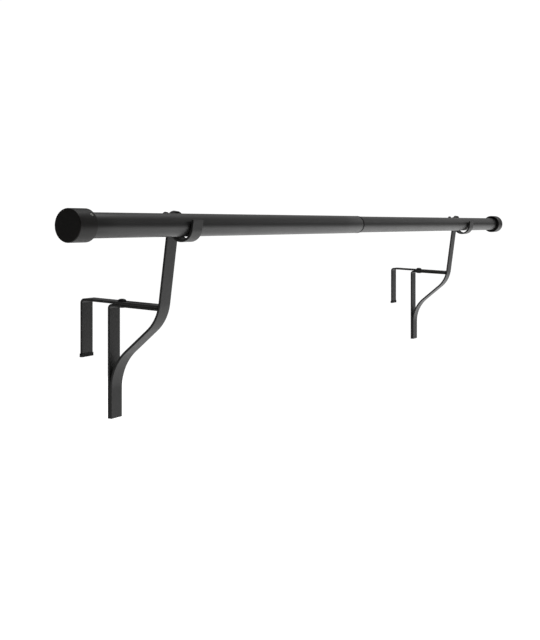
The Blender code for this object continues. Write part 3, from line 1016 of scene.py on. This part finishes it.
def make_lock_nut(side, place):
    """A hexagon weld nut on the arm, its corners turned off and its hole countersunk."""
    low = STRAP / 2 + BUTT
    high = low + LOCK_NUT
    half = LOCK_NUT_FLATS / 2
    hole = LOCK_SHANK + FIT
    slope = 0.55 * MM
    crown = [
        (0, low - MM),
        (half + 2 * MM, low - MM),
        (half + 2 * MM, high - slope),
        (half + 0.9 * MM, high - slope),
        (half - 0.1 * MM, high),
        (0, high),
    ]
    sink = [
        (0, high - 0.4 * MM),
        (hole, high - 0.4 * MM),
        (hole + 0.5 * MM, high + 0.1 * MM),
        (0, high + 0.1 * MM),
    ]
    nut = prism(hexagon(LOCK_NUT_FLATS), low, high)
    nut = cut(nut, tool(turned(crown, HEAD_STEPS, closed=False)), how="INTERSECT")
    bore = round_tool(hole, low - OVER, high + OVER)
    nut = cut(nut, bore, tool(turned(sink, SMALL_STEPS, closed=False)))
    name = side + "_lock_nut"
    rounding(show(name + "_shown", nut, STRAP_COAT, node=name, place=place), 0.15 * MM, 2, 40)


def make_bracket(side, x):
    place = Matrix.Translation((x, 0, 0))
    make_front_strap(side, place)
    make_arm(side, place)
    make_cradle(side, place)
    make_hook_strap(side, place)
    make_hook_tip(side, place)
    make_clamp_screw(side, place @ strip_place())
    make_clamp_nut(side, place @ strip_place())
    make_lock_screw(side, place @ lock_place())
    make_lock_nut(side, place @ lock_place())
    make_welds(side, place)


make_bar()
make_cap("left", -1, OUTER_RADIUS)
make_cap("right", 1, INNER_RADIUS)
make_bracket("left", -BRACKET_X)
make_bracket("right", BRACKET_X)


# ---------------------------------------------------------------- studio

FLOOR_Z = -0.6
FLOOR_RADII = (0.01, 0.5, 1.0, 2.0, 3.0)
AIM = (0.1, -0.1, 0)
# Brightness of the room from straight down (0) through the horizon (0.5) to straight up (1)
ROOM_LEVELS = [
    (0.0, 0.5),
    (0.3, 0.6),
    (0.38, 0.5),
    (0.44, 0.36),
    (0.485, 0.12),
    (0.54, 0.1),
    (0.61, 0.26),
    (0.75, 0.16),
    (1.0, 0.2),
]


def make_floor():
    """A pale disc well below the part, which stands over the panel that its brackets hook over."""
    n = Nodes("studio_floor")
    grain = n.noise(3, 3, 0.5)
    body = n.blend(n.spread(grain, 0.3, 0.7), (0.86, 0.86, 0.86, 1), (0.9, 0.9, 0.9, 1))
    across = n.add("SeparateXYZ", inputs={0: n.place()}).outputs["X"]
    dim = n.spread(across, -0.6, 1.4, 0.42, 0.78)
    seen = n.maths("MAXIMUM", dim, n.add("LightPath").outputs["Is Camera Ray"])
    n.wire(Base_Color=body, Roughness=0.8, Emission_Color=(1, 1, 1, 1), Emission_Strength=seen)
    rings = [[(x, y, FLOOR_Z) for x, y in circle(radius, 96)] for radius in FLOOR_RADII]
    mesh = skin(rings, caps=False)
    mesh.materials.append(n.mat)
    floor = remember(bpy.data.objects.new("studio_floor", mesh))


def make_world():
    """White to the eye, but to light and reflections a dim room, lighter towards +X."""
    world = bpy.data.worlds.new("studio")
    bpy.context.scene.world = world
    world.use_nodes = True
    tree = world.node_tree
    tree.nodes.clear()
    out = tree.nodes.new("ShaderNodeOutputWorld")
    mixed = tree.nodes.new("ShaderNodeMixShader")
    path = tree.nodes.new("ShaderNodeLightPath")
    seen = tree.nodes.new("ShaderNodeBackground")
    seen.inputs["Strength"].default_value = 1.05
    seen.inputs["Color"].default_value = (1, 1, 1, 1)
    room = tree.nodes.new("ShaderNodeBackground")
    place = tree.nodes.new("ShaderNodeTexCoord")
    apart = tree.nodes.new("ShaderNodeSeparateXYZ")
    ramp = tree.nodes.new("ShaderNodeValToRGB")
    height = tree.nodes.new("ShaderNodeMapRange")
    height.inputs[1].default_value = -1
    height.inputs[2].default_value = 1
    for at, level in ROOM_LEVELS:
        stop = ramp.color_ramp.elements.new(at)
        stop.color = (level, level, level, 1)
    ramp.color_ramp.elements.remove(ramp.color_ramp.elements[0])
    ramp.color_ramp.elements.remove(ramp.color_ramp.elements[-1])
    link = tree.links.new
    link(place.outputs["Generated"], apart.inputs[0])
    link(apart.outputs["Z"], height.inputs[0])
    link(height.outputs[0], ramp.inputs[0])
    link(ramp.outputs[0], room.inputs["Color"])
    along = tree.nodes.new("ShaderNodeMapRange")
    for index, value in ((1, 0.6), (2, 1.0), (3, 0.4), (4, 2.5)):
        along.inputs[index].default_value = value
    link(apart.outputs["X"], along.inputs[0])
    link(along.outputs[0], room.inputs["Strength"])
    link(path.outputs["Is Camera Ray"], mixed.inputs[0])
    link(room.outputs[0], mixed.inputs[1])
    link(seen.outputs[0], mixed.inputs[2])
    link(mixed.outputs[0], out.inputs[0])


def make_light(name, place, size, power, glint=True):
    """A rectangular light aimed at the part. Without glint it isn't seen in reflections."""
    light = bpy.data.lights.new(name, "AREA")
    light.shape = "RECTANGLE"
    light.size, light.size_y = size
    light.energy = power
    obj = remember(bpy.data.objects.new(name, light))
    obj.location = place
    aim = Vector(AIM) - Vector(place)
    obj.rotation_euler = aim.to_track_quat("-Z", "Y").to_euler()
    obj.visible_glossy = glint


def make_camera():
    lens = bpy.data.cameras.new("photo_view")
    lens.lens = 55.173
    lens.sensor_width = 36
    lens.shift_y = -0.1518
    lens.clip_start = 0.01
    camera = remember(bpy.data.objects.new("photo_view", lens))
    camera.location = (-1.33205, -0.73211, 0.09213)
    camera.rotation_euler = (math.pi / 2, 0, math.radians(-59.402))
    bpy.context.scene.camera = camera


make_floor()
make_world()
make_light("overhead", place=(0.6, -0.4, 2.2), size=(2.4, 1.2), power=12)
make_light("key", place=(1.9, -1.5, 1.0), size=(1.2, 1.0), power=30, glint=False)
make_camera()
bpy.context.scene.view_settings.view_transform = "Standard"
